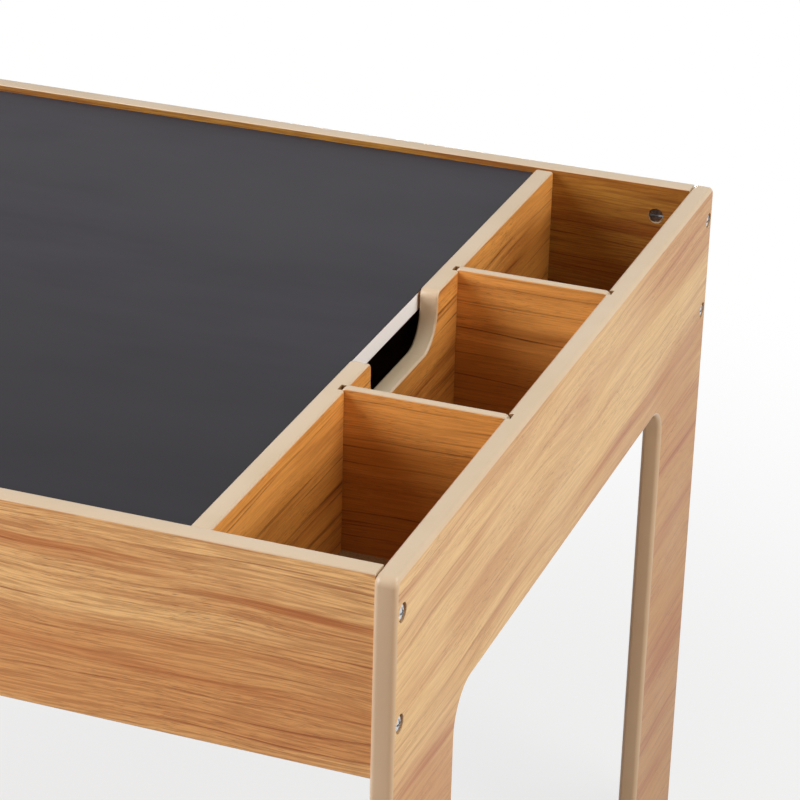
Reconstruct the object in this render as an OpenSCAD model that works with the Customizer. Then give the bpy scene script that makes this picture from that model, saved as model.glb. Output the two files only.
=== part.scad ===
// Children's activity table: two arched end panels, long rails bolted between them,
// a lift-out double-sided top over a storage well, and a divided trough at each end.
// Millimetres. Origin at the centre of the footprint on the floor, +X along the length,
// +Y towards the back, +Z up.

/* [Overall size] */
// Length over the two end panels
table_l = 802; // [702:10:1202]
// Depth over an end panel
table_d = 600; // [520:10:760]
// Height from the floor to the rim
table_h = 485; // [420:5:600]

/* [Boards] */
// Thickness of the end panels
panel_t = 13; // [12:0.5:18]
// Thickness of the rails and partitions
board_t = 12; // [12:0.5:18]
// Round-over along the edges of the end panels
panel_r = 3; // [1.5:0.5:3.5]
// Round-over along the edges of the partitions
partition_r = 1.5; // [0.5:0.5:2.5]
// Softening along the edges of the rails
rail_r = 1; // [0.5:0.5:2]

/* [End panels] */
// Width of a leg
leg_w = 98; // [70:1:140]
// Radius of the arch's two corners
arch_r = 24; // [12:1:60]
// Radius of a panel's top corners
panel_corner_r = 5; // [4:0.5:8]

/* [Rails] */
// Height of a rail
rail_h = 120; // [110:1:170]
// Distance from a panel's edge in to a rail's outer face
rail_inset = 3; // [2:0.5:8]

/* [Bottom panel] */
// Thickness of the bottom panel
floor_t = 5; // [3:0.5:8]
// Height of its underside above the rails' lower edge
floor_up = 12; // [8:1:20]
// Depth of the groove that holds it
floor_groove = 5; // [3:0.5:7]
// Gap left at the bottom of that groove
floor_end_gap = 0.5; // [0.2:0.1:1]

/* [Troughs] */
// Clear width of a trough
trough_w = 95; // [70:1:130]
// How far a partition's top lies below the rim
partition_drop = 1; // [0.5:0.5:3]
// Radius of a partition's upper end corners
partition_corner_r = 3; // [3:0.5:6]

/* [Finger notch] */
// Width of the notch in a partition
notch_w = 112; // [80:1:150]
// Depth of the notch below the partition's top
notch_d = 34; // [28:1:50]
// Radius of the notch's lower corners
notch_r = 22; // [6:1:22]
// Radius of the notch's upper corners
notch_lip_r = 5; // [3:0.5:6]

/* [Dividers] */
// Thickness of a divider
divider_t = 6; // [4:0.5:9]
// Softening along a divider's top edges
divider_r = 1; // [0.5:0.5:1.5]
// Radius of a divider's upper corners
divider_corner_r = 4; // [2:0.5:10]
// Depth of the grooves that hold the dividers
divider_groove = 4; // [2.5:0.5:5]
// Play between a divider and its groove on each side
divider_play = 0.3; // [0.1:0.05:0.6]
// Gap between a divider's end and the bottom of its groove
divider_end_gap = 1.5; // [0.3:0.1:2]

/* [Lift-out top] */
// Full thickness of the top
top_t = 12; // [9:1:18]
// How far the top's face lies below the rim
top_recess = 4; // [2:0.5:10]
// Gap all round the top
top_gap = 1.5; // [0.8:0.1:3]
// Thickness of the chalkboard sheet on its face
sheet_t = 0.6; // [0.4:0.1:1]
// Radius of the top's corners in plan
top_corner_r = 2; // [1:0.5:10]

/* [Bearing strips] */
// Width of a strip under the top
strip_w = 12; // [10:1:20]
// Height of a strip
strip_h = 16; // [12:1:24]
// Gap between a strip's end and the partition
strip_end_gap = 1; // [0.5:0.5:5]

/* [Corner bolts] */
// Diameter of a bolt
bolt_d = 5; // [5:0.5:6]
// Diameter of a bolt's head
bolt_head_d = 9.5; // [8.5:0.5:10]
// Height of a bolt's head at its middle
bolt_head_h = 3; // [2.4:0.1:3.6]
// Height of the straight part of a head's side
bolt_head_side = 1.9; // [1:0.1:2]
// Diameter of the counterbore round a head
bolt_bore_d = 11; // [10.5:0.5:12.5]
// Depth of that counterbore
bolt_bore_depth = 3.2; // [3.2:0.1:6]
// Clearance round a bolt in the wood
bolt_clear = 0.3; // [0.2:0.1:0.6]
// Distance from the rim down to the upper bolts
bolt_drop = 22; // [18:1:30]
// Distance from the bottom panel up to the lower bolts
bolt_rise = 16; // [14:1:28]
// How far a bolt runs past its nut
bolt_past = 2; // [1:0.5:4]

/* [Barrel nuts] */
// Diameter of a barrel nut
nut_d = 10; // [9:0.5:12]
// How far a nut's ends lie below a rail's faces
nut_recess = 1.5; // [1:0.1:3]
// Chamfer round a nut's ends
nut_chamfer = 0.6; // [0.3:0.1:0.8]
// Distance from an end panel to the centre of a nut
nut_setback = 22; // [16:1:30]
// Clearance round a nut in its hole
nut_clear = 0.2; // [0.1:0.05:0.4]
// Gap between a nut and the bottom of its hole
nut_end_gap = 0.3; // [0.1:0.1:0.5]
// Width of a nut's screwdriver slot
nut_slot_w = 1.4; // [1:0.1:2]
// Depth of that slot
nut_slot_depth = 1.4; // [0.8:0.1:1.4]

/* [Dowels] */
// Diameter of a dowel between a partition and a rail
dowel_d = 6; // [5:0.5:6]
// Length of a dowel
dowel_l = 28; // [24:1:40]
// Length of a dowel that sits in the rail
dowel_in_rail = 8; // [6:0.5:9]
// Clearance at each end of a dowel
dowel_end_gap = 0.7; // [0.3:0.1:1]
// Clearance round a dowel
dowel_clear = 0.05; // [0.02:0.01:0.2]
// Distance from a partition's upper and lower edges in to its dowels
dowel_edge = 25; // [18:1:30]

/* [Wood screws] */
// Diameter of a wood screw
screw_d = 3.5; // [3:0.5:4]
// Diameter of its countersunk head
screw_head_d = 7; // [6:0.5:8]
// Clearance round a screw
screw_clear = 0.1; // [0.05:0.05:0.2]
// How far the screws in the bottom panel reach into a partition
floor_screw_bite = 17; // [12:1:22]
// How far the screws in a bearing strip reach into a rail
strip_screw_bite = 8; // [6:0.5:10]
// Distance from an end of a strip to its outer screws
strip_screw_inset = 40; // [25:5:100]
// Distance from the middle to the inner screws under a partition
floor_screw_inner = 62; // [40:1:65]
// Distance from a partition's ends to the outer screws under it
floor_screw_inset = 63; // [45:1:80]

/* [Hidden] */

$fn = 48;

// Colours
foil = [0.80, 0.60, 0.38];
foil_dark = [0.72, 0.50, 0.28];
hardboard = [0.72, 0.60, 0.46];
pale_board = [0.93, 0.92, 0.90];
chalk_black = [0.22, 0.22, 0.24];
raw_pine = [0.86, 0.72, 0.50];
beech = [0.88, 0.74, 0.56];
zinc = [0.75, 0.76, 0.78];

// How far cutting shapes reach past the wood
over = 1;

// Faces and levels worked out from the sizes above
panel_in_x = table_l / 2 - panel_t;
rail_out_y = table_d / 2 - rail_inset;
rail_in_y = rail_out_y - board_t;
rail_low_z = table_h - rail_h;
floor_low_z = rail_low_z + floor_up;
floor_z = floor_low_z + floor_t;
floor_play = 0.3;
floor_half_x = panel_in_x + floor_groove - floor_end_gap;
floor_half_y = rail_in_y + floor_groove - floor_end_gap;

partition_out_x = panel_in_x - trough_w;
partition_in_x = partition_out_x - board_t;
partition_z = table_h - partition_drop;

divider_groove_w = divider_t + 2 * divider_play;
divider_l = trough_w + 2 * (divider_groove - divider_end_gap);
bay_d = (2 * rail_in_y - 2 * divider_t) / 3;
divider_y = bay_d / 2 + divider_t / 2;
trough_x = (panel_in_x + partition_out_x) / 2;

top_z = table_h - top_recess;
top_low_z = top_z - top_t;

bolt_y = rail_out_y - board_t / 2;
bolt_zs = [floor_z + bolt_rise, table_h - bolt_drop];
bolt_seat_x = table_l / 2 - bolt_bore_depth;
nut_x = panel_in_x - nut_setback;
nut_l = board_t - 2 * nut_recess;
nut_thread_gap = 0.05;
bolt_tip_x = nut_x - nut_d / 2 - bolt_past;

dowel_zs = [floor_z + dowel_edge, partition_z - dowel_edge];
dowel_hole_r = dowel_d / 2 + dowel_clear;
dowel_x = (partition_in_x + partition_out_x) / 2;

screw_head_h = (screw_head_d - screw_d) / 2;
floor_screw_l = floor_t + floor_screw_bite;
strip_screw_l = strip_w + strip_screw_bite;
strip_l = 2 * (partition_in_x - strip_end_gap);
strip_screw_xs = [for (i = [-1, 0, 1]) i * (strip_l / 2 - strip_screw_inset)];
floor_screw_ys = [for (s = [-1, 1], y = [floor_screw_inner, rail_in_y - floor_screw_inset]) s * y];

// A board is drawn as an outline of corners, each [across, up, corner radius, edge routed]

function unit(v) = v / norm(v);
function at(path, i) = path[(i + len(path)) % len(path)];
function place(corner) = [corner[0], corner[1]];
function turn(a, b) = a[0] * b[1] - a[1] * b[0];

// Directions from a corner back to the one before it and on to the next
function back_way(path, i) = unit(place(at(path, i - 1)) - place(path[i]));
function next_way(path, i) = unit(place(at(path, i + 1)) - place(path[i]));

// Half the angle between a corner's edges, and the distance to where its arc begins
function half_angle(path, i) = acos(back_way(path, i) * next_way(path, i)) / 2;
function arc_reach(path, i) = path[i][2] / tan(half_angle(path, i));

function arc_start(path, i) = place(path[i]) + back_way(path, i) * arc_reach(path, i);
function arc_end(path, i) = place(path[i]) + next_way(path, i) * arc_reach(path, i);
function arc_centre(path, i) = place(path[i])
    + unit(back_way(path, i) + next_way(path, i)) * path[i][2] / sin(half_angle(path, i));
function is_outer(path, i) = turn(-back_way(path, i), next_way(path, i)) > 0;

function corner_points(path, i) = path[i][2] == 0
    ? [place(path[i])]
    : [arc_start(path, i), arc_end(path, i)];

module arc_discs(path, outer) {
    for (i = [0 : len(path) - 1])
        if (path[i][2] > 0 && is_outer(path, i) == outer)
            translate(arc_centre(path, i)) circle(path[i][2]);
}

// The flat shape that an outline encloses, its corners rounded by true arcs
module board_shape(path) {
    difference() {
        union() {
            polygon([for (i = [0 : len(path) - 1]) each corner_points(path, i)]);
            arc_discs(path, true);
        }
        arc_discs(path, false);
    }
}

// Section of a round-over bit, its own corner where the board's sharp edge would be
module bit_section(r) {
    difference() {
        translate([-r, -r]) square(r + over);
        translate([-r, -r]) circle(r);
    }
}

// The bit run along a straight edge, with the board on its left
module straight_run(from, to, r) {
    way = to - from;
    translate([to[0], to[1], 0])
        rotate([90, 0, atan2(way[1], way[0]) - 90])
            linear_extrude(norm(way))
                bit_section(r);
}

// The bit run round a corner's arc
module arc_run(path, i, r) {
    outer = is_outer(path, i);
    first = (outer ? arc_start(path, i) : arc_end(path, i)) - arc_centre(path, i);
    translate(concat(arc_centre(path, i), 0))
        rotate([0, 0, atan2(first[1], first[0])])
            rotate_extrude(angle = 180 - 2 * half_angle(path, i))
                translate([path[i][2], 0])
                    mirror([outer ? 0 : 1, 0])
                        bit_section(r);
}

// Every routed edge of an outline, along the face at height 0
module routed_edges(path, r) {
    for (i = [0 : len(path) - 1]) {
        a = arc_end(path, i);
        b = arc_start(path, (i + 1) % len(path));
        lead = path[i][2] == 0 ? over : 0;
        tail = at(path, i + 1)[2] == 0 ? over : 0;
        if (path[i][3])
            straight_run(a - lead * unit(b - a), b + tail * unit(b - a), r);
        if (path[i][2] > 0 && (path[i][3] || at(path, i - 1)[3]))
            arc_run(path, i, r);
    }
}

// A board of thickness t with the marked edges rounded over on both faces
module routed_board(path, t, r) {
    difference() {
        linear_extrude(t) board_shape(path);
        translate([0, 0, t]) routed_edges(path, r);
        mirror([0, 0, 1]) routed_edges(path, r);
    }
}

// Turns a flat board up on its edge: across becomes +Y, up becomes +Z, thickness +X
module stand_along_y(x) {
    translate([x, 0, 0]) rotate([90, 0, 90]) children();
}

// Turns a flat board up on its edge: across becomes +X, up becomes +Z, thickness centred on y
module stand_along_x(y, t) {
    translate([0, y + t / 2, 0]) rotate([90, 0, 0]) children();
}

module box(low, high) {
    translate(low) cube(high - low);
}

module at_both_ends_y() {
    for (s = [-1, 1]) scale([1, s, 1]) children();
}

// Outline of an end panel: two legs, and the arch between them
end_panel_path = [
    [-table_d / 2, 0, 0, false],
    [-table_d / 2 + leg_w, 0, 0, true],
    [-table_d / 2 + leg_w, rail_low_z, arch_r, true],
    [table_d / 2 - leg_w, rail_low_z, arch_r, true],
    [table_d / 2 - leg_w, 0, 0, false],
    [table_d / 2, 0, 0, true],
    [table_d / 2, table_h, panel_corner_r, true],
    [-table_d / 2, table_h, panel_corner_r, true]
];

// Holes for one corner bolt: counterbore for the head and a clear hole for the shank
module bolt_holes() {
    for (s = [-1, 1], z = bolt_zs)
        translate([0, s * bolt_y, z]) rotate([0, 90, 0]) {
            cylinder(h = table_l / 2 + over, r = bolt_d / 2 + bolt_clear);
            translate([0, 0, bolt_seat_x])
                cylinder(h = bolt_bore_depth + over, r = bolt_bore_d / 2);
        }
}

// Grooves for the two dividers, cut from x0 to x1 and open at the top
module divider_grooves(x0, x1) {
    for (s = [-1, 1])
        box([x0, s * divider_y - divider_groove_w / 2, floor_z],
            [x1, s * divider_y + divider_groove_w / 2, table_h + over]);
}

// The right-hand panel
module end_panel() {
    difference() {
        stand_along_y(panel_in_x) routed_board(end_panel_path, panel_t, panel_r);
        bolt_holes();
        divider_grooves(panel_in_x - over, panel_in_x + divider_groove);
        box([panel_in_x - over, -rail_in_y - floor_groove, floor_low_z],
            [panel_in_x + floor_groove, rail_in_y + floor_groove, floor_z + floor_play]);
    }
}

module end_panel_right() {
    color(foil) end_panel();
}

module end_panel_left() {
    color(foil) mirror([1, 0, 0]) end_panel();
}

// Section of the back rail in Y and Z, its four long edges softened
module rail_section() {
    translate([rail_in_y + rail_r, rail_low_z + rail_r])
        square([board_t - 2 * rail_r, rail_h - 2 * rail_r]);
    translate([rail_in_y, rail_low_z + rail_r]) square([board_t, rail_h - 2 * rail_r]);
    translate([rail_in_y + rail_r, rail_low_z]) square([board_t - 2 * rail_r, rail_h]);
    for (y = [rail_in_y + rail_r, rail_out_y - rail_r], z = [rail_low_z + rail_r, table_h - rail_r])
        translate([y, z]) circle(rail_r);
}

// Everything drilled in one end of the back rail: shank holes, nut holes and dowel holes
module rail_end_drilling() {
    for (z = bolt_zs) {
        translate([bolt_tip_x - over, rail_out_y - board_t / 2, z]) rotate([0, 90, 0])
            cylinder(h = table_l / 2 - bolt_tip_x, r = bolt_d / 2 + bolt_clear);
        translate([nut_x, rail_in_y - over, z]) rotate([-90, 0, 0])
            cylinder(h = nut_recess + nut_l + nut_end_gap + over, r = nut_d / 2 + nut_clear);
    }
    for (z = dowel_zs)
        translate([dowel_x, rail_in_y - over, z]) rotate([-90, 0, 0])
            cylinder(h = dowel_in_rail + dowel_end_gap + over, r = dowel_hole_r);
}

// The pilot holes of the screws that hold a bearing strip
module strip_pilots() {
    for (x = strip_screw_xs)
        translate([x, rail_in_y - over, top_low_z - strip_h / 2]) rotate([-90, 0, 0])
            cylinder(h = strip_screw_bite + screw_clear + over, r = screw_d / 2 + screw_clear);
}

module rail() {
    difference() {
        translate([-panel_in_x, 0, 0]) rotate([90, 0, 90])
            linear_extrude(2 * panel_in_x) rail_section();
        box([-table_l / 2, rail_in_y - over, floor_low_z],
            [table_l / 2, rail_in_y + floor_groove, floor_z + floor_play]);
        for (s = [-1, 1]) scale([s, 1, 1]) rail_end_drilling();
        strip_pilots();
    }
}

module back_rail() {
    color(foil) rail();
}

module front_rail() {
    color(foil) mirror([0, 1, 0]) rail();
}

// A countersunk screw's solid, head down at the origin and point up; grow widens it for its hole
module screw_solid(l, grow) {
    cylinder(h = screw_head_h, r1 = screw_head_d / 2 + grow, r2 = screw_d / 2 + grow);
    cylinder(h = l, r = screw_d / 2 + grow);
}

module floor_screw_places() {
    for (s = [-1, 1], y = floor_screw_ys)
        translate([s * dowel_x, y, floor_low_z]) children();
}

// The thin sheet that closes the troughs and the well from below
module bottom_panel() {
    color(hardboard) difference() {
        box([-floor_half_x, -floor_half_y, floor_low_z], [floor_half_x, floor_half_y, floor_z]);
        floor_screw_places() screw_solid(floor_screw_l, screw_clear);
    }
}

module bottom_screws() {
    color(zinc) floor_screw_places() difference() {
        screw_solid(floor_screw_l, 0);
        cross_recess(screw_head_d * 0.5, screw_head_h * 0.6);
    }
}

// A cross recess for a driver, cut up from the origin, wider where its two arms meet
module cross_recess(across, depth) {
    arm_w = across / 5;
    middle_w = across / 2.5;
    for (a = [0, 90])
        rotate([0, 0, a])
            translate([-across / 2, -arm_w / 2, -over]) cube([across, arm_w, depth + over]);
    rotate([0, 0, 45])
        translate([-middle_w / 2, -middle_w / 2, -over]) cube([middle_w, middle_w, depth + over]);
}

// Outline of a partition, with the finger notch in its upper edge
partition_path = [
    [-rail_in_y, floor_z, 0, false],
    [rail_in_y, floor_z, 0, true],
    [rail_in_y, partition_z, partition_corner_r, true],
    [notch_w / 2, partition_z, notch_lip_r, true],
    [notch_w / 2, partition_z - notch_d, notch_r, true],
    [-notch_w / 2, partition_z - notch_d, notch_r, true],
    [-notch_w / 2, partition_z, notch_lip_r, true],
    [-rail_in_y, partition_z, partition_corner_r, true]
];

// The right-hand partition, its grooved face towards the trough
module partition() {
    difference() {
        stand_along_y(partition_in_x) routed_board(partition_path, board_t, partition_r);
        divider_grooves(partition_out_x - divider_groove, partition_out_x + over);
        at_both_ends_y() for (z = dowel_zs)
            translate([dowel_x, rail_in_y + over, z]) rotate([90, 0, 0])
                cylinder(h = dowel_l - dowel_in_rail + dowel_end_gap + over, r = dowel_hole_r);
        floor_screw_places() screw_solid(floor_screw_l + screw_clear, screw_clear);
    }
}

module partition_right() {
    color(foil_dark) partition();
}

module partition_left() {
    color(foil_dark) mirror([1, 0, 0]) partition();
}

// Dowels that join the partitions to the rails
module partition_dowels() {
    color(beech) for (s = [-1, 1], z = dowel_zs)
        at_both_ends_y()
            translate([s * dowel_x, rail_in_y - dowel_l + dowel_in_rail, z]) rotate([-90, 0, 0])
                cylinder(h = dowel_l, r = dowel_d / 2);
}

// Outline of a divider, with a larger radius at its upper corners
divider_path = [
    [-divider_l / 2, floor_z, 0, false],
    [divider_l / 2, floor_z, 0, false],
    [divider_l / 2, table_h, divider_corner_r, true],
    [-divider_l / 2, table_h, divider_corner_r, false]
];

// A divider for the right trough (side 1) or the left (side -1), at the front (-1) or rear (1)
module divider(side, row) {
    color(foil_dark)
        translate([side * trough_x, 0, 0])
            stand_along_x(row * divider_y, divider_t)
                routed_board(divider_path, divider_t, divider_r);
}

module divider_right_front() {
    divider(1, -1);
}

module divider_right_rear() {
    divider(1, 1);
}

module divider_left_front() {
    divider(-1, -1);
}

module divider_left_rear() {
    divider(-1, 1);
}

// Outline of the lift-out top
top_half_x = partition_in_x - top_gap;
top_half_y = rail_in_y - top_gap;
top_path = [
    [-top_half_x, -top_half_y, top_corner_r, false],
    [top_half_x, -top_half_y, top_corner_r, false],
    [top_half_x, top_half_y, top_corner_r, false],
    [-top_half_x, top_half_y, top_corner_r, false]
];

module tabletop_board() {
    color(pale_board)
        translate([0, 0, top_low_z]) linear_extrude(top_t - sheet_t) board_shape(top_path);
}

module chalkboard_sheet() {
    color(chalk_black)
        translate([0, 0, top_z - sheet_t]) linear_extrude(sheet_t) board_shape(top_path);
}

module strip_screw_places() {
    for (x = strip_screw_xs)
        translate([x, rail_in_y - strip_w, top_low_z - strip_h / 2]) rotate([-90, 0, 0]) children();
}

// The strip that carries the top along the back rail
module bearing_strip() {
    difference() {
        box([-strip_l / 2, rail_in_y - strip_w, top_low_z - strip_h],
            [strip_l / 2, rail_in_y, top_low_z]);
        strip_screw_places() screw_solid(strip_screw_l, screw_clear);
    }
}

module bearing_strip_back() {
    color(raw_pine) bearing_strip();
}

module bearing_strip_front() {
    color(raw_pine) mirror([0, 1, 0]) bearing_strip();
}

module strip_screws() {
    color(zinc) at_both_ends_y() strip_screw_places() difference() {
        screw_solid(strip_screw_l, 0);
        cross_recess(screw_head_d * 0.5, screw_head_h * 0.6);
    }
}

// Half section of a bolt along +X: shank, and a head with a straight side and a domed face
module bolt_profile() {
    head_r = bolt_head_d / 2;
    dome_h = bolt_head_h - bolt_head_side;
    dome_r = (head_r * head_r + dome_h * dome_h) / (2 * dome_h);
    square([bolt_d / 2, bolt_seat_x - bolt_tip_x]);
    translate([0, bolt_seat_x - bolt_tip_x]) intersection() {
        square([head_r, bolt_head_h + over]);
        translate([0, bolt_head_h - dome_r]) circle(dome_r);
    }
}

module corner_bolt() {
    head_top = bolt_seat_x + bolt_head_h;
    difference() {
        translate([bolt_tip_x, 0, 0]) rotate([0, 90, 0]) rotate_extrude() bolt_profile();
        translate([head_top, 0, 0]) rotate([0, -90, 0])
            cross_recess(bolt_head_d * 0.62, bolt_head_h * 0.6);
    }
}

module corner_bolts() {
    for (s = [-1, 1], z = bolt_zs)
        translate([0, s * bolt_y, z]) corner_bolt();
}

module corner_bolts_right() {
    color(zinc) corner_bolts();
}

module corner_bolts_left() {
    color(zinc) mirror([1, 0, 0]) corner_bolts();
}

// A barrel nut's solid along its own axis, chamfered at both ends
module barrel() {
    rotate_extrude()
        polygon([[0, 0], [nut_d / 2 - nut_chamfer, 0], [nut_d / 2, nut_chamfer],
                 [nut_d / 2, nut_l - nut_chamfer], [nut_d / 2 - nut_chamfer, nut_l], [0, nut_l]]);
}

// A cross-drilled nut for the back rail, slotted on the face towards the trough
module barrel_nut(z) {
    nut_y = rail_in_y + nut_recess;
    difference() {
        translate([nut_x, nut_y, z]) rotate([-90, 0, 0]) barrel();
        translate([nut_x - nut_d, bolt_y, z]) rotate([0, 90, 0])
            cylinder(h = 2 * nut_d, r = bolt_d / 2 + nut_thread_gap);
        box([nut_x - nut_d, nut_y - over, z - nut_slot_w / 2],
            [nut_x + nut_d, nut_y + nut_slot_depth, z + nut_slot_w / 2]);
    }
}

module barrel_nuts() {
    at_both_ends_y() for (z = bolt_zs) barrel_nut(z);
}

module barrel_nuts_right() {
    color(zinc) barrel_nuts();
}

module barrel_nuts_left() {
    color(zinc) mirror([1, 0, 0]) barrel_nuts();
}

end_panel_left();
end_panel_right();
front_rail();
back_rail();
bottom_panel();
partition_left();
partition_right();
divider_left_front();
divider_left_rear();
divider_right_front();
divider_right_rear();
tabletop_board();
chalkboard_sheet();
bearing_strip_front();
bearing_strip_back();
corner_bolts_left();
corner_bolts_right();
barrel_nuts_left();
barrel_nuts_right();
partition_dowels();
strip_screws();
bottom_screws();
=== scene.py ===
import math
import bpy
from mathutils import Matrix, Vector

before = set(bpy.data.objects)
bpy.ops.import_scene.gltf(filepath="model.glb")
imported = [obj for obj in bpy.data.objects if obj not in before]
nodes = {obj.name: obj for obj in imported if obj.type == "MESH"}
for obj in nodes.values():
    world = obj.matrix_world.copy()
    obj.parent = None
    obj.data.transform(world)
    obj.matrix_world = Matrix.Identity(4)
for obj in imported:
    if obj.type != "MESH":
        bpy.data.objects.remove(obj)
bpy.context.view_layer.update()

mm = 0.001


# Colours are written as 0 to 255 screen values and turned into Blender's linear ones
def linear(level):
    level /= 255
    return level / 12.92 if level <= 0.04045 else ((level + 0.055) / 1.055) ** 2.4


def paint(red, green, blue):
    return (linear(red), linear(green), linear(blue), 1.0)


# Adds one shader node; an input is either a value or another node's output socket
def put(tree, kind, inputs=None, **settings):
    node = tree.nodes.new("ShaderNode" + kind)
    for name, value in settings.items():
        setattr(node, name, value)
    for name, value in (inputs or {}).items():
        socket = node.inputs[name]
        if isinstance(value, bpy.types.NodeSocket):
            tree.links.new(value, socket)
        else:
            socket.default_value = value
    return node


# The helpers below each add one node and give back its output socket
def calc(tree, operation, first, second=0.0, third=0.0, clamp=False):
    node = put(tree, "Math", {0: first, 1: second, 2: third}, operation=operation, use_clamp=clamp)
    return node.outputs[0]


def between(tree, value, low, high, start=0.0, end=1.0):
    node = put(tree, "MapRange", {"Value": value, "From Min": low, "From Max": high,
                                  "To Min": start, "To Max": end},
               interpolation_type="SMOOTHSTEP")
    return node.outputs["Result"]


def tint(tree, share, below, above, mode="MIX"):
    node = put(tree, "Mix", {0: share, 6: below, 7: above}, data_type="RGBA", blend_type=mode)
    return node.outputs[2]


def stretch(tree, vector, factors):
    return put(tree, "VectorMath", {0: vector, 1: factors}, operation="MULTIPLY").outputs[0]


def join(tree, x, y, z=0.0):
    return put(tree, "CombineXYZ", {"X": x, "Y": y, "Z": z}).outputs[0]


def split(tree, vector):
    return put(tree, "SeparateXYZ", {0: vector}).outputs


def cloud(tree, vector, seed, detail=2.0, roughness=0.5):
    node = put(tree, "TexNoise", {"Vector": vector, "W": seed, "Scale": 1.0,
                                  "Detail": detail, "Roughness": roughness},
               noise_dimensions="4D")
    return node.outputs["Fac"]


def newGroup(name, inputs, outputs):
    tree = bpy.data.node_groups.new(name, "ShaderNodeTree")
    kinds = {"float": "NodeSocketFloat", "colour": "NodeSocketColor", "vector": "NodeSocketVector"}
    for socketName, kind, value in inputs:
        socket = tree.interface.new_socket(socketName, in_out="INPUT", socket_type=kinds[kind])
        if value is not None:
            socket.default_value = value
    for socketName, kind in outputs:
        tree.interface.new_socket(socketName, in_out="OUTPUT", socket_type=kinds[kind])
    return tree, tree.nodes.new("NodeGroupInput"), tree.nodes.new("NodeGroupOutput")


def useGroup(tree, group, inputs):
    node = tree.nodes.new("ShaderNodeGroup")
    node.node_tree = group
    for name, value in inputs.items():
        if isinstance(value, bpy.types.NodeSocket):
            tree.links.new(value, node.inputs[name])
        else:
            node.inputs[name].default_value = value
    return node.outputs


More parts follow.
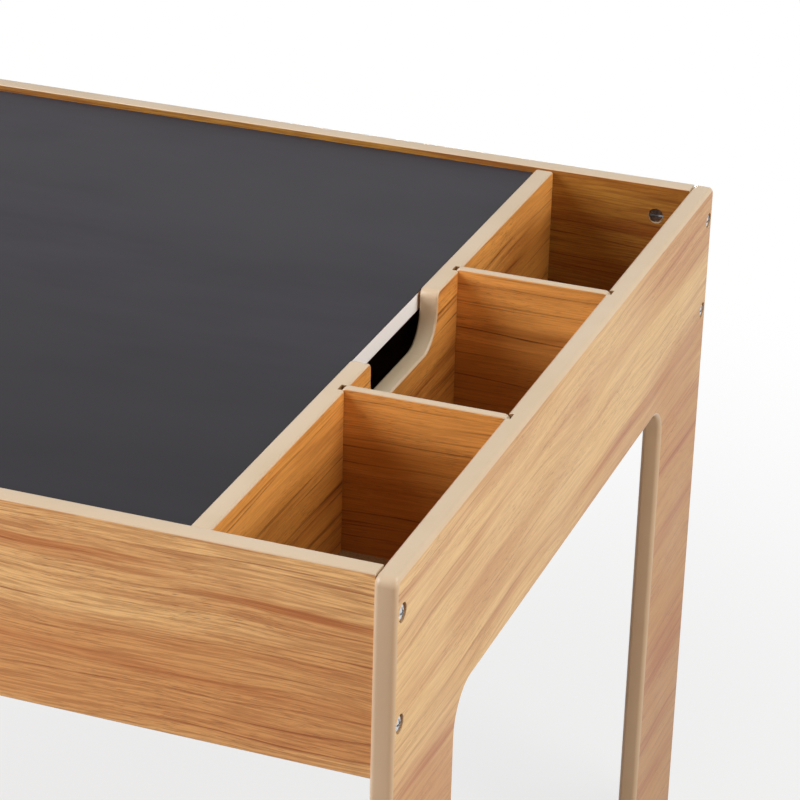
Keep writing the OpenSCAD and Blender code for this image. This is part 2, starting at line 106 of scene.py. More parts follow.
# Printed wood grain. Place is in metres: x along the grain, y across it. Shift makes a part
# darker or paler, Band adds reddish streaks, and the grain flows round the spot Knot
def makeWoodGrain():
    look = {
        # How far the grain drifts and wavers sideways, in metres
        "driftScale": (4.2, 7.0, 1.0), "drift": 0.022,
        "waverScale": (16.0, 80.0, 1.0), "waver": 0.0018,
        # The knot's half length and half width, in metres, and how far it pushes the grain apart
        "knotSize": (0.026, 0.0085), "knotSwell": 1.6, "knotHeart": 0.45,
        # Broad tones, then streaks, then fine fibres
        "toneScale": (2.0, 26.0, 1.0), "toneEdges": (0.36, 0.64),
        "streakScale": (3.0, 62.0, 1.0), "streakEdges": (0.48, 0.74),
        "bandEdges": (0.36, 0.60), "bandShares": (0.3, 1.2),
        "fibreScale": (26.0, 820.0, 1.0), "fibreEdges": (0.4, 0.6),
        # Growth lines lie one step apart, in metres, and wander by whole steps
        "ringStep": 0.0078, "ringWanderScale": (1.8, 11.0, 1.0), "ringWander": 5.0,
        "ringEdges": (0.84, 0.985), "ringFadeScale": 5.0, "ringFadeEdges": (0.40, 0.64),
        "lineScale": (3.2, 260.0, 1.0), "lineEdges": (0.54, 0.70), "lineShare": 0.85,
        # Pores come in patches
        "poreScale": (110.0, 2600.0, 1.0), "poreEdges": (0.58, 0.70),
        "patchScale": (13.0, 50.0, 1.0), "patchEdges": (0.42, 0.60), "patchShares": (0.15, 1.0),
    }
    tree, given, result = newGroup("woodGrain", [
        ("Place", "vector", None), ("Seed", "float", 0.0), ("Band", "float", 0.0),
        ("Shift", "float", 0.0), ("Knot", "vector", (9.0, 9.0, 0.0)),
        ("Pale", "colour", paint(220, 170, 108)), ("Tan", "colour", paint(205, 150, 90)),
        ("Streak", "colour", paint(176, 108, 60)), ("Line", "colour", paint(160, 92, 44)),
        ("Dark", "colour", paint(104, 62, 30)),
        ("Streaks", "float", 0.6), ("Fibres", "float", 0.3),
        ("Lines", "float", 0.6), ("Pores", "float", 0.6),
    ], [("Color", "colour"), ("Pore Mask", "float"), ("Line Mask", "float")])
    inputs = given.outputs
    spot, seed = inputs["Place"], inputs["Seed"]

    def seeded(step):
        return calc(tree, "ADD", seed, step)

    # The grain drifts slowly, and wavers a little
    x, y, _ = split(tree, spot)
    drift = cloud(tree, stretch(tree, spot, look["driftScale"]), seed)
    waver = cloud(tree, stretch(tree, spot, look["waverScale"]), seeded(3.0))
    y = calc(tree, "MULTIPLY_ADD", calc(tree, "SUBTRACT", drift, 0.5), look["drift"], y)
    y = calc(tree, "MULTIPLY_ADD", calc(tree, "SUBTRACT", waver, 0.5), look["waver"], y)

    # It spreads apart round the knot
    knotX, knotY, _ = split(tree, inputs["Knot"])
    alongKnot = calc(tree, "DIVIDE", calc(tree, "SUBTRACT", x, knotX), look["knotSize"][0])
    pastKnot = calc(tree, "SUBTRACT", y, knotY)
    acrossKnot = calc(tree, "DIVIDE", pastKnot, look["knotSize"][1])
    reach = calc(tree, "ADD", calc(tree, "MULTIPLY", alongKnot, alongKnot),
                 calc(tree, "MULTIPLY", acrossKnot, acrossKnot))
    swell = calc(tree, "EXPONENT", calc(tree, "MULTIPLY", reach, -0.5))
    spread = calc(tree, "MULTIPLY_ADD", swell, look["knotSwell"], 1.0)
    y = calc(tree, "ADD", knotY, calc(tree, "DIVIDE", pastKnot, spread))
    spot = join(tree, x, y)

    # Broad tones
    tone = cloud(tree, stretch(tree, spot, look["toneScale"]), seed, 3.0, 0.6)
    tone = calc(tree, "ADD", tone, inputs["Shift"])
    colour = tint(tree, between(tree, tone, *look["toneEdges"]), inputs["Pale"], inputs["Tan"])

    # Streaks, the bands that are asked for, and the knot's dark heart
    streak = cloud(tree, stretch(tree, spot, look["streakScale"]), seeded(11.0), 3.0, 0.6)
    streak = calc(tree, "MULTIPLY", between(tree, streak, *look["streakEdges"]), inputs["Streaks"])
    line = cloud(tree, stretch(tree, spot, look["lineScale"]), seeded(23.0), 4.0, 0.65)
    band = between(tree, line, *look["bandEdges"], *look["bandShares"])
    band = calc(tree, "MULTIPLY", inputs["Band"], band)
    heart = calc(tree, "EXPONENT", calc(tree, "MULTIPLY", reach, -1.5))
    heart = calc(tree, "MULTIPLY", heart, look["knotHeart"])
    streak = calc(tree, "MAXIMUM", streak, calc(tree, "MAXIMUM", band, heart))
    colour = tint(tree, calc(tree, "MINIMUM", streak, 1.0), colour, inputs["Streak"])

    # Fine fibres all over
    fibre = cloud(tree, stretch(tree, spot, look["fibreScale"]), seeded(41.0), 4.0, 0.7)
    fibre = between(tree, fibre, *look["fibreEdges"])
    colour = tint(tree, calc(tree, "MULTIPLY", fibre, inputs["Fibres"]), colour, inputs["Line"])

    # Growth lines: each darkens slowly, then stops at a sharp edge, and fades in and out by itself
    wander = cloud(tree, stretch(tree, spot, look["ringWanderScale"]), seeded(61.0))
    steps = calc(tree, "DIVIDE", y, look["ringStep"])
    steps = calc(tree, "MULTIPLY_ADD", wander, look["ringWander"], steps)
    ring = between(tree, calc(tree, "FRACT", steps), *look["ringEdges"])
    ownPlace = calc(tree, "MULTIPLY", calc(tree, "FLOOR", steps), 7.31)   # far from the next line's
    alongRing = calc(tree, "MULTIPLY", x, look["ringFadeScale"])
    fade = cloud(tree, join(tree, alongRing, ownPlace), seeded(31.0), 1.0)
    ring = calc(tree, "MULTIPLY", ring, between(tree, fade, *look["ringFadeEdges"]))
    ring = calc(tree, "MULTIPLY", ring, calc(tree, "MULTIPLY_ADD", fibre, 0.5, 0.6))
    lines = calc(tree, "MULTIPLY", between(tree, line, *look["lineEdges"]), look["lineShare"])
    marks = calc(tree, "MAXIMUM", ring, lines)
    strength = calc(tree, "MULTIPLY_ADD", streak, 0.5, inputs["Lines"])
    marks = calc(tree, "MULTIPLY", marks, strength, clamp=True)
    colour = tint(tree, marks, colour, inputs["Line"])

    # Open pores: short dark dashes in patches
    pore = cloud(tree, stretch(tree, spot, look["poreScale"]), seed, 1.0)
    patch = cloud(tree, stretch(tree, spot, look["patchScale"]), seeded(53.0))
    patch = between(tree, patch, *look["patchEdges"], *look["patchShares"])
    pore = calc(tree, "MULTIPLY", between(tree, pore, *look["poreEdges"]), patch)
    colour = tint(tree, calc(tree, "MULTIPLY", pore, inputs["Pores"]), colour, inputs["Dark"])
    tree.links.new(colour, result.inputs["Color"])
    tree.links.new(pore, result.inputs["Pore Mask"])
    tree.links.new(marks, result.inputs["Line Mask"])
    return tree


# Sawn fibreboard, as it shows inside holes and grooves
def makeFibreboard():
    look = {
        "fibreScale": (900.0, 900.0, 2600.0), "fibreEdges": (0.35, 0.65),
        "speckScale": (240.0, 240.0, 240.0), "speckEdges": (0.55, 0.75), "speckShare": 0.5,
    }
    tree, given, result = newGroup("fibreboard", [
        ("Place", "vector", None), ("Light", "colour", paint(176, 138, 94)),
        ("Dark", "colour", paint(132, 96, 60)),
    ], [("Color", "colour"), ("Height", "float")])
    inputs = given.outputs
    fibres = cloud(tree, stretch(tree, inputs["Place"], look["fibreScale"]), 2.0, 3.0, 0.65)
    specks = cloud(tree, stretch(tree, inputs["Place"], look["speckScale"]), 5.0)
    specks = between(tree, specks, *look["speckEdges"], 0.0, look["speckShare"])
    colour = tint(tree, between(tree, fibres, *look["fibreEdges"]), inputs["Light"], inputs["Dark"])
    colour = tint(tree, specks, colour, inputs["Dark"])
    tree.links.new(colour, result.inputs["Color"])
    tree.links.new(fibres, result.inputs["Height"])
    return tree


# Handling marks on a painted or coated surface: faint clouds and a fine grit, sizes in metres
def makeHandlingMarks():
    look = {"cloudEdges": (0.3, 0.7)}
    tree, given, result = newGroup("handlingMarks", [
        ("Place", "vector", None), ("Seed", "float", 0.0), ("Cloud Size", "float", 0.08),
        ("Grit Size", "float", 0.0012),
    ], [("Clouds", "float"), ("Grit", "float")])
    inputs = given.outputs

    def scaled(size):
        factor = calc(tree, "DIVIDE", 1.0, size)
        return put(tree, "VectorMath", {0: inputs["Place"], "Scale": factor}, operation="SCALE").outputs[0]

    clouds = cloud(tree, scaled(inputs["Cloud Size"]), inputs["Seed"], 4.0, 0.55)
    grit = cloud(tree, scaled(inputs["Grit Size"]), inputs["Seed"])
    tree.links.new(between(tree, clouds, *look["cloudEdges"]), result.inputs["Clouds"])
    tree.links.new(grit, result.inputs["Grit"])
    return tree


woodGrain = makeWoodGrain()
fibreboard = makeFibreboard()
handlingMarks = makeHandlingMarks()
print("shared effects ready")


def newMaterial(name):
    material = bpy.data.materials.new(name)
    material.use_nodes = True
    tree = material.node_tree
    tree.nodes.clear()
    output = tree.nodes.new("ShaderNodeOutputMaterial")
    shader = tree.nodes.new("ShaderNodeBsdfPrincipled")
    tree.links.new(shader.outputs[0], output.inputs["Surface"])
    spot = put(tree, "TexCoord").outputs["Object"]
    return material, tree, shader, spot


# A height in millimetres becomes a bump of that real depth
def bumpFrom(tree, shader, height):
    bump = put(tree, "Bump", {"Height": height, "Strength": 1.0, "Distance": mm})
    tree.links.new(bump.outputs[0], shader.inputs["Normal"])


def dress(nodeName, material):
    item = nodes[nodeName]
    item.data.materials.clear()
    item.data.materials.append(material)


boardLook = {
    "edge": paint(213, 190, 162), "edgeShade": paint(206, 182, 152),
    "foilRoughness": 0.42, "edgeRoughness": 0.34, "wear": 0.06,
    "foilStart": 0.01, "foilEnd": 0.12, "ragged": 0.05,   # depth below the face, in mm
    "grit": 0.012, "pressed": 0.03, "crown": 0.5,         # heights, in mm
    "holeRadius": 5.8, "holeStart": 0.3, "grooveHalf": 3.4,   # where raw board shows, in mm
}


# A soft oval in the print, in mm: its middle (along, across the grain), half length,
# half width and slope, and its strength
def ovalShare(tree, along, across, oval):
    middle, halfLength, halfWidth, slope, strength = oval
    past = calc(tree, "SUBTRACT", along, middle[0] * mm)
    line = calc(tree, "MULTIPLY_ADD", past, slope, middle[1] * mm)
    away = calc(tree, "DIVIDE", calc(tree, "SUBTRACT", across, line), halfWidth * mm)
    past = calc(tree, "DIVIDE", past, halfLength * mm)
    reach = calc(tree, "MULTIPLY_ADD", past, past, calc(tree, "MULTIPLY", away, away))
    share = calc(tree, "EXPONENT", calc(tree, "MULTIPLY", reach, -1.0))
    return calc(tree, "MULTIPLY", share, strength)


# One where a spot lies inside a bolt hole, which runs along X through (|y|, z) in mm
def insideHole(tree, y, z, hole):
    away = calc(tree, "SUBTRACT", calc(tree, "ABSOLUTE", y), hole[0] * mm)
    up = calc(tree, "SUBTRACT", z, hole[1] * mm)
    reach = calc(tree, "ADD", calc(tree, "MULTIPLY", away, away), calc(tree, "MULTIPLY", up, up))
    return calc(tree, "LESS_THAN", reach, (boardLook["holeRadius"] * mm) ** 2)


# One where a spot lies inside a divider groove: its side of the table, the two depths along X
# that it is cut between, and the |y| of its middle, in mm
def insideGroove(tree, x, y, groove):
    side, low, high, centre = groove
    outward = calc(tree, "MULTIPLY", x, side)
    deep = calc(tree, "MULTIPLY", calc(tree, "GREATER_THAN", outward, low * mm),
                calc(tree, "LESS_THAN", outward, high * mm))
    offset = calc(tree, "SUBTRACT", calc(tree, "ABSOLUTE", y), centre * mm)
    offset = calc(tree, "ABSOLUTE", offset)
    return calc(tree, "MULTIPLY", deep, calc(tree, "LESS_THAN", offset, boardLook["grooveHalf"] * mm))


# A board faced with printed foil on both faces and painted beige round its edges.
# thin is its thickness axis, middle and thickness are in mm, and the print runs along grain
def boardMaterial(name, look, thin, middle, thickness, grain, seed, holes=(), groove=None):
    material, tree, shader, spot = newMaterial(name)
    axes = dict(zip("XYZ", split(tree, spot)))
    along = axes[grain]
    across = axes[[axis for axis in "XYZ" if axis not in (thin, grain)][0]]
    band = shift = 0.0
    for oval in look["bands"]:
        band = calc(tree, "MAXIMUM", band, ovalShare(tree, along, across, oval))
    for oval in look["zones"]:
        shift = calc(tree, "ADD", shift, ovalShare(tree, along, across, oval))
    grainInputs = {"Place": join(tree, along, across), "Seed": seed, "Band": band, "Shift": shift}
    if "knot" in look:
        grainInputs["Knot"] = (look["knot"][0] * mm, look["knot"][1] * mm, 0.0)
    wood = useGroup(tree, woodGrain, {**grainInputs, **look["tones"]})
    marks = useGroup(tree, handlingMarks, {"Place": spot, "Seed": seed})

    # The foil ends a little below the face, along a slightly ragged line
    offset = calc(tree, "ABSOLUTE", calc(tree, "SUBTRACT", axes[thin], middle * mm))
    depth = calc(tree, "DIVIDE", calc(tree, "SUBTRACT", thickness * mm / 2, offset), mm)
    ragged = calc(tree, "SUBTRACT", marks["Grit"], 0.5)
    frayed = calc(tree, "MULTIPLY_ADD", ragged, boardLook["ragged"], depth)
    edge = between(tree, frayed, boardLook["foilStart"], boardLook["foilEnd"])
    paintColour = tint(tree, marks["Clouds"], boardLook["edge"], boardLook["edgeShade"])
    foil = wood["Color"]
    # The rails' inner faces, towards the troughs, are multiplied darker
    if "innerShade" in look:
        inward = calc(tree, "LESS_THAN", calc(tree, "ABSOLUTE", axes[thin]), abs(middle) * mm)
        foil = tint(tree, inward, foil, look["innerShade"], "MULTIPLY")
    colour = tint(tree, edge, foil, paintColour)

    # Raw fibreboard shows in the grooves and the bolt holes
    raw = insideGroove(tree, axes["X"], axes["Y"], groove) if groove else None
    for hole in holes:
        inside = calc(tree, "MULTIPLY", insideHole(tree, axes["Y"], axes["Z"], hole),
                      calc(tree, "GREATER_THAN", depth, boardLook["holeStart"]))
        raw = inside if raw is None else calc(tree, "MAXIMUM", raw, inside)
    if raw is not None:
        core = useGroup(tree, fibreboard, {"Place": spot})
        colour = tint(tree, raw, colour, core["Color"])
    tree.links.new(colour, shader.inputs["Base Color"])

    rough = between(tree, edge, 0.0, 1.0, boardLook["foilRoughness"], boardLook["edgeRoughness"])
    rough = calc(tree, "MULTIPLY_ADD", marks["Clouds"], boardLook["wear"], rough)
    tree.links.new(rough, shader.inputs["Roughness"])

    # The painted edges are slightly crowned, and the foil's pores are pressed in
    bow = calc(tree, "DIVIDE", offset, thickness * mm / 2)
    height = calc(tree, "MULTIPLY", calc(tree, "MULTIPLY", bow, bow), -boardLook["crown"])
    height = calc(tree, "MULTIPLY_ADD", marks["Grit"], boardLook["grit"], height)
    pressed = calc(tree, "MULTIPLY", wood["Pore Mask"], calc(tree, "SUBTRACT", 1.0, edge))
    height = calc(tree, "MULTIPLY_ADD", pressed, -boardLook["pressed"], height)
    bumpFrom(tree, shader, height)
    return material


# In the looks below, bands are reddish streaks and zones are paler (below 0) or darker (above 0)
endPanelLook = {
    "tones": {
        "Pale": paint(224, 190, 135), "Tan": paint(197, 151, 98), "Streak": paint(172, 108, 64),
        "Line": paint(154, 94, 46), "Dark": paint(118, 64, 28),
        "Streaks": 0.65, "Fibres": 0.24, "Lines": 0.5, "Pores": 0.5,
    },
    "bands": [
        ((100, 386), 110, 4, 0.02, 0.8), ((230, 462), 110, 16, 0.0, 0.55),
        ((-250, 405), 60, 4, 0.0, 0.5), ((-250, 353), 70, 8, -0.06, 0.9),
        ((-250, 230), 80, 24, -0.08, 0.6), ((-250, 110), 80, 14, 0.05, 0.5),
        ((250, 160), 80, 26, 0.04, 1.0), ((250, 313), 80, 8, -0.05, 0.9),
        ((250, 262), 80, 6, 0.03, 0.9), ((250, 98), 80, 6, 0.03, 0.9),
        ((250, 60), 80, 9, 0.0, 0.8), ((250, 345), 80, 7, 0.0, 0.8),
    ],
    "zones": [
        ((-160, 455), 150, 18, -0.02, -0.4), ((170, 428), 110, 16, 0.0, -0.3),
        ((-170, 402), 110, 22, 0.03, 0.15), ((-270, 440), 60, 60, 0.0, -0.3),
        ((-250, 305), 70, 40, 0.0, 0.35), ((250, 180), 80, 170, 0.0, 0.6),
    ],
    "knot": (12, 452),
    "seeds": {"right": 1.7, "left": 8.3},
}
partitionLook = {
    "tones": {
        "Pale": paint(234, 165, 84), "Tan": paint(200, 132, 57), "Streak": paint(156, 86, 26),
        "Line": paint(100, 46, 10), "Dark": paint(60, 26, 6),
        "Streaks": 0.7, "Fibres": 0.22, "Lines": 0.85, "Pores": 0.6,
    },
    "bands": [((0, 428), 300, 5, 0.05, 0.7), ((200, 455), 50, 20, 0.0, 0.6)],
    # The first zone is painted light, paler along the top of the troughs where the light reaches in; the
    # second is painted shade, darker lower down in the troughs; the third is painted shade on the face in
    # the rear trough, by the back rail
    "zones": [
        ((0, 472), 600, 16, 0.0, -0.35), ((0, 400), 600, 25, 0.0, 0.45),
        ((230, 430), 80, 60, 0.0, 0.35),
    ],
    "seeds": {"right": 4.8, "left": 11.4},
}
dividerLook = {
    "tones": partitionLook["tones"],
    "bands": [],
    # The same painted light and shade as the partitions: paler at the top, darker lower down
    "zones": partitionLook["zones"][:2],
    "seeds": {"left_front": 20.0, "left_rear": 22.0, "right_front": 26.0, "right_rear": 28.0},
}
railLook = {
    "tones": {
        "Pale": paint(252, 210, 146), "Tan": paint(228, 171, 108), "Streak": paint(204, 134, 76),
        "Line": paint(160, 90, 40), "Dark": paint(124, 62, 22),
        "Streaks": 0.55, "Fibres": 0.5, "Lines": 0.9, "Pores": 0.6,
    },
    "bands": [
        ((190, 466), 130, 9, -0.04, 0.85), ((350, 452), 70, 6, -0.05, 0.85),
        ((150, 406), 400, 4, -0.03, 0.8),
    ],
    "zones": [
        ((220, 435), 160, 12, 0.0, -0.2), ((100, 384), 420, 14, 0.0, 0.3),
        ((20, 468), 150, 14, 0.0, -0.35),
    ],
    "innerShade": paint(182, 160, 98),   # the inner faces, towards the troughs, are darker
    "seeds": {"front": 4.2, "back": 12.9},
}

# Places from the solids, in mm
boltHoles = [(291, 398), (291, 463)]
dividerOffset = 96
for side, sign in (("right", 1), ("left", -1)):
    dress("end_panel_" + side, boardMaterial(
        "endPanelFoil_" + side, endPanelLook, "X", sign * 394.5, 13, "Y",
        endPanelLook["seeds"][side], holes=boltHoles, groove=(sign, 387, 392.1, dividerOffset)))
    dress("partition_" + side, boardMaterial(
        "partitionFoil_" + side, partitionLook, "X", sign * 287, 12, "Y",
        partitionLook["seeds"][side], groove=(sign, 288.9, 294, dividerOffset)))
for side, sign in (("front", -1), ("back", 1)):
    dress(side + "_rail", boardMaterial(
        "railFoil_" + side, railLook, "Y", sign * 291, 12, "X", railLook["seeds"][side]))
for side in ("left", "right"):
    for row, sign in (("front", -1), ("rear", 1)):
        place = f"{side}_{row}"
        dress("divider_" + place, boardMaterial(
            "dividerFoil_" + place, dividerLook, "Y", sign * dividerOffset, 6, "X",
            dividerLook["seeds"][place]))
print("foil boards dressed")


# Thin sheet under the troughs and the well
def makeSheetMaterial():
    look = {
        "light": paint(176, 144, 106), "dark": paint(146, 112, 76), "worn": 0.25,
        "roughness": 0.6, "texture": 0.01,
    }
    material, tree, shader, spot = newMaterial("bottomSheet")
    core = useGroup(tree, fibreboard, {"Place": spot, "Light": look["light"], "Dark": look["dark"]})
    marks = useGroup(tree, handlingMarks, {"Place": spot, "Seed": 3.0, "Cloud Size": 0.15})
    worn = calc(tree, "MULTIPLY", marks["Clouds"], look["worn"])
    tree.links.new(tint(tree, worn, core["Color"], look["dark"]), shader.inputs["Base Color"])
    shader.inputs["Roughness"].default_value = look["roughness"]
    bumpFrom(tree, shader, calc(tree, "MULTIPLY", core["Height"], look["texture"]))
    return material


# Writing surface: matt black with a faint wiped haze of chalk dust, and a painted sheen that makes it a
# little lighter towards the back
def makeChalkboardMaterial():
    look = {
        "black": paint(29, 27, 32), "dustAndSheen": paint(74, 71, 78), "hazeShare": 0.25, "gritShare": 0.06,
        "wipeScale": (5.0, 20.0, 1.0), "wipeEdges": (0.35, 0.75),
        "liftFrom": -0.3, "liftTo": 0.3, "lift": 0.2,
        "roughness": 0.46, "wear": 0.1, "gloss": 0.12, "texture": 0.008,
    }
    material, tree, shader, spot = newMaterial("chalkboardBlack")
    marks = useGroup(tree, handlingMarks, {
        "Place": spot, "Seed": 6.0, "Cloud Size": 0.22, "Grit Size": 0.0009})
    wiped = cloud(tree, stretch(tree, spot, look["wipeScale"]), 4.0, 4.0, 0.6)
    dustAndSheen = calc(tree, "MULTIPLY", marks["Clouds"], between(tree, wiped, *look["wipeEdges"]))
    dustAndSheen = calc(tree, "MULTIPLY", dustAndSheen, look["hazeShare"])
    dustAndSheen = calc(tree, "MULTIPLY_ADD", marks["Grit"], look["gritShare"], dustAndSheen)
    # Painted sheen: the colour is lifted towards the back, standing in for the backdrop's reflection, and
    # mixed in with the chalk dust
    lift = between(tree, split(tree, spot)["Y"], look["liftFrom"], look["liftTo"], 0.0, look["lift"])
    dustAndSheen = calc(tree, "ADD", dustAndSheen, lift)
    tree.links.new(tint(tree, dustAndSheen, look["black"], look["dustAndSheen"]), shader.inputs["Base Color"])
    rough = calc(tree, "MULTIPLY_ADD", marks["Clouds"], look["wear"], look["roughness"])
    tree.links.new(rough, shader.inputs["Roughness"])
    shader.inputs["Specular IOR Level"].default_value = look["gloss"]
    bumpFrom(tree, shader, calc(tree, "MULTIPLY", marks["Grit"], look["texture"]))
    return material


# White melamine on the top's underside and edges
def makeWhiteMaterial():
    look = {
        "white": paint(246, 250, 255), "grey": paint(241, 245, 250),
        "roughness": 0.3, "wear": 0.12, "texture": 0.004,
    }
    material, tree, shader, spot = newMaterial("whiteMelamine")
    marks = useGroup(tree, handlingMarks, {"Place": spot, "Seed": 9.0, "Cloud Size": 0.12})
    tree.links.new(tint(tree, marks["Clouds"], look["white"], look["grey"]), shader.inputs["Base Color"])
    rough = calc(tree, "MULTIPLY_ADD", marks["Clouds"], look["wear"], look["roughness"])
    tree.links.new(rough, shader.inputs["Roughness"])
    bumpFrom(tree, shader, calc(tree, "MULTIPLY", marks["Grit"], look["texture"]))
    return material


# Unfinished timber for the bearing strips and the dowels
def makeTimberMaterial(name, grain, tones, seed):
    look = {"roughness": 0.65, "relief": 0.03}
    material, tree, shader, spot = newMaterial(name)
    x, y, z = split(tree, spot)
    along = join(tree, x, y, z) if grain == "X" else join(tree, y, x, z)
    wood = useGroup(tree, woodGrain, {"Place": along, "Seed": seed, **tones})
    tree.links.new(wood["Color"], shader.inputs["Base Color"])
    shader.inputs["Roughness"].default_value = look["roughness"]
    bumpFrom(tree, shader, calc(tree, "MULTIPLY", wood["Line Mask"], look["relief"]))
    return material


# Zinc-plated steel: bright for the bolts and screws; the barrel nuts get a darker base colour, painted
# shade that stands in for the dark reflections in their holes
def makeZincMaterial(name, bright, dull):
    look = {"roughness": 0.22, "wear": 0.14, "texture": 0.004}
    material, tree, shader, spot = newMaterial(name)
    marks = useGroup(tree, handlingMarks, {
        "Place": spot, "Seed": 14.0, "Cloud Size": 0.004, "Grit Size": 0.0004})
    tree.links.new(tint(tree, marks["Clouds"], bright, dull), shader.inputs["Base Color"])
    shader.inputs["Metallic"].default_value = 1.0
    rough = calc(tree, "MULTIPLY_ADD", marks["Clouds"], look["wear"], look["roughness"])
    tree.links.new(rough, shader.inputs["Roughness"])
    bumpFrom(tree, shader, calc(tree, "MULTIPLY", marks["Grit"], look["texture"]))
    return material


stripLook = {
    "Pale": paint(226, 196, 150), "Tan": paint(214, 178, 126), "Streak": paint(186, 140, 88),
    "Line": paint(184, 138, 86), "Dark": paint(140, 96, 54),
    "Streaks": 0.3, "Fibres": 0.2, "Lines": 0.8, "Pores": 0.1,
}
dowelLook = {
    "Pale": paint(222, 188, 144), "Tan": paint(210, 172, 126), "Streak": paint(184, 140, 94),
    "Line": paint(180, 136, 92), "Dark": paint(150, 104, 66),
    "Streaks": 0.2, "Fibres": 0.2, "Lines": 0.3, "Pores": 0.4,
}
boltLook = {"bright": paint(232, 232, 232), "dull": paint(196, 197, 200)}
nutLook = {"bright": paint(184, 188, 190), "dull": paint(104, 108, 112)}

dress("bottom_panel", makeSheetMaterial())
dress("chalkboard_sheet", makeChalkboardMaterial())
dress("tabletop_board", makeWhiteMaterial())
pine = makeTimberMaterial("planedPine", "X", stripLook, 40.0)
for row in ("front", "back"):
    dress("bearing_strip_" + row, pine)
dress("partition_dowels", makeTimberMaterial("turnedBeech", "Y", dowelLook, 44.0))
zinc = makeZincMaterial("zincPlate", **boltLook)
for name in ("corner_bolts_left", "corner_bolts_right", "strip_screws", "bottom_screws"):
    dress(name, zinc)
# Painted shade: the barrel nuts' darker zinc stands in for the dark hole and trough they reflect
nutZincPaintedShade = makeZincMaterial("nutZincPaintedShade", **nutLook)
for name in ("barrel_nuts_left", "barrel_nuts_right"):
    dress(name, nutZincPaintedShade)
print("all nodes dressed")


# The floor is grey paper that the lamps light, with a dimmer and warmer bounce onto the table.
# To the camera most of it is lifted to white, which leaves a faint shadow near the table only
def makeFloor():
    look = {
        "size": 30.0, "drop": 0.3,   # drop in mm, just clear of the feet
        "colour": paint(188, 188, 190), "bounce": paint(170, 150, 128), "roughness": 0.9,
        "clearFrom": 0.38, "clearTo": 1.3, "hold": 0.77,
    }
    half = look["size"] / 2
    mesh = bpy.data.meshes.new("studioFloor")
    mesh.from_pydata([(-half, -half, 0), (half, -half, 0), (half, half, 0), (-half, half, 0)],
                     [], [(0, 1, 2, 3)])
    floor = bpy.data.objects.new("studioFloor", mesh)
    floor.location.z = -look["drop"] * mm
    bpy.context.scene.collection.objects.link(floor)
    material, tree, shader, spot = newMaterial("studioPaper")
    shader.inputs["Roughness"].default_value = look["roughness"]
    away = put(tree, "VectorMath", {0: spot}, operation="LENGTH").outputs["Value"]
    clear = between(tree, away, look["clearFrom"], look["clearTo"], look["hold"], 1.0)
    path = put(tree, "LightPath").outputs
    seen = calc(tree, "MAXIMUM", path["Is Camera Ray"],
                calc(tree, "MAXIMUM", path["Is Glossy Ray"], path["Is Transmission Ray"]))
    tree.links.new(tint(tree, seen, look["bounce"], look["colour"]), shader.inputs["Base Color"])
    white = put(tree, "Emission", {"Color": (1, 1, 1, 1), "Strength": 1.0}).outputs[0]
    lifted = calc(tree, "MULTIPLY", seen, clear)
    paper = put(tree, "MixShader", {0: lifted, 1: shader.outputs[0], 2: white}).outputs[0]
    # From below it is see-through, so that it doesn't hide the underside
    fromBelow = put(tree, "NewGeometry").outputs["Backfacing"]
    nothing = put(tree, "BsdfTransparent").outputs[0]
    whole = put(tree, "MixShader", {0: fromBelow, 1: paper, 2: nothing}).outputs[0]
    output = [node for node in tree.nodes if node.type == "OUTPUT_MATERIAL"][0]
    tree.links.new(whole, output.inputs["Surface"])
    mesh.materials.append(material)


# A weak warm fill on the object; the camera sees white, and so do reflections
def makeWorld():
    look = {"fill": 0.03, "fillColour": (1.0, 0.87, 0.72, 1.0), "shine": 1.0}
    world = bpy.data.worlds.new("studioWorld")
    bpy.context.scene.world = world
    world.use_nodes = True
    tree = world.node_tree
    tree.nodes.clear()
    output = tree.nodes.new("ShaderNodeOutputWorld")
    path = put(tree, "LightPath").outputs
    fill = put(tree, "Background", {"Color": look["fillColour"], "Strength": look["fill"]}).outputs[0]
    shine = put(tree, "Background", {"Color": (1, 1, 1, 1), "Strength": look["shine"]}).outputs[0]
    white = put(tree, "Background", {"Color": (1, 1, 1, 1), "Strength": 1.0}).outputs[0]
    glossy = calc(tree, "MAXIMUM", path["Is Glossy Ray"], path["Is Transmission Ray"])
    mixed = put(tree, "MixShader", {0: glossy, 1: fill, 2: shine}).outputs[0]
    mixed = put(tree, "MixShader", {0: path["Is Camera Ray"], 1: mixed, 2: white}).outputs[0]
    tree.links.new(mixed, output.inputs["Surface"])


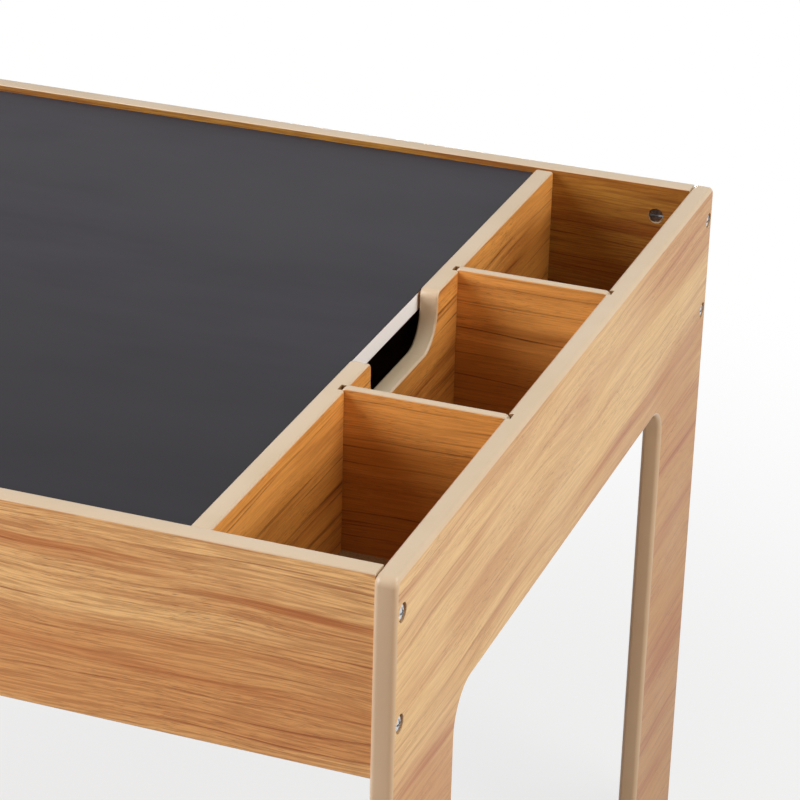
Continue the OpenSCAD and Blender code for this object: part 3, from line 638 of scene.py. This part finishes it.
# Square lamps, in metres and watts
lampLook = {
    "leftSoftbox": {"position": (-1.32, -1.1, 1.52), "target": (0.25, -0.1, 0.45),
                    "size": 1.4, "power": 51, "colour": (1.0, 0.98, 1.0)},
    "rightSoftbox": {"position": (1.68, 0.05, 1.98), "target": (0.25, -0.1, 0.45),
                     "size": 1.1, "power": 17, "colour": (0.92, 1.0, 0.94)},
    "rearSoftbox": {"position": (1.45, 0.95, 1.85), "target": (0.3, 0.0, 0.45),
                    "size": 1.1, "power": 12, "colour": (0.92, 0.96, 1.0)},
    "frontReflector": {"position": (1.23, -1.79, 0.87), "target": (0.25, -0.1, 0.45),
                       "size": 1.0, "power": 3, "colour": (1.0, 0.6, 0.3)},
    "rightReflector": {"position": (2.16, -0.51, 0.9), "target": (0.25, -0.1, 0.45),
                       "size": 0.8, "power": 16, "colour": (1.0, 0.85, 0.76)},
    "backReflector": {"position": (-0.3, 1.9, 0.23), "target": (0.0, 0.3, 0.3),
                      "size": 0.44, "power": 12, "colour": (1.0, 0.95, 0.9)},   # kept below the top
}


def addLamp(name, look):
    lamp = bpy.data.lights.new(name, "AREA")
    lamp.shape = "SQUARE"
    lamp.size = look["size"]
    lamp.energy = look["power"]
    lamp.color = look["colour"]
    item = bpy.data.objects.new(name, lamp)
    item.location = look["position"]
    aim = Vector(look["target"]) - Vector(look["position"])
    item.rotation_euler = aim.to_track_quat("-Z", "Y").to_euler()
    bpy.context.scene.collection.objects.link(item)


# The photograph's view
def addCamera():
    look = {
        "position": (0.83773, -1.50472, 1.18395),
        "turn": (64.9198, -1.3974, 20.6351),
        "lens": 132.431, "sensor": 36.0,
    }
    data = bpy.data.cameras.new("photoCamera")
    data.sensor_fit = "HORIZONTAL"
    data.sensor_width = look["sensor"]
    data.lens = look["lens"]
    camera = bpy.data.objects.new("photoCamera", data)
    camera.location = look["position"]
    camera.rotation_euler = [math.radians(angle) for angle in look["turn"]]
    bpy.context.scene.collection.objects.link(camera)
    bpy.context.scene.camera = camera


makeFloor()
makeWorld()
for name, look in lampLook.items():
    addLamp(name, look)
addCamera()
bpy.context.scene.view_settings.view_transform = "Standard"
print("studio ready")
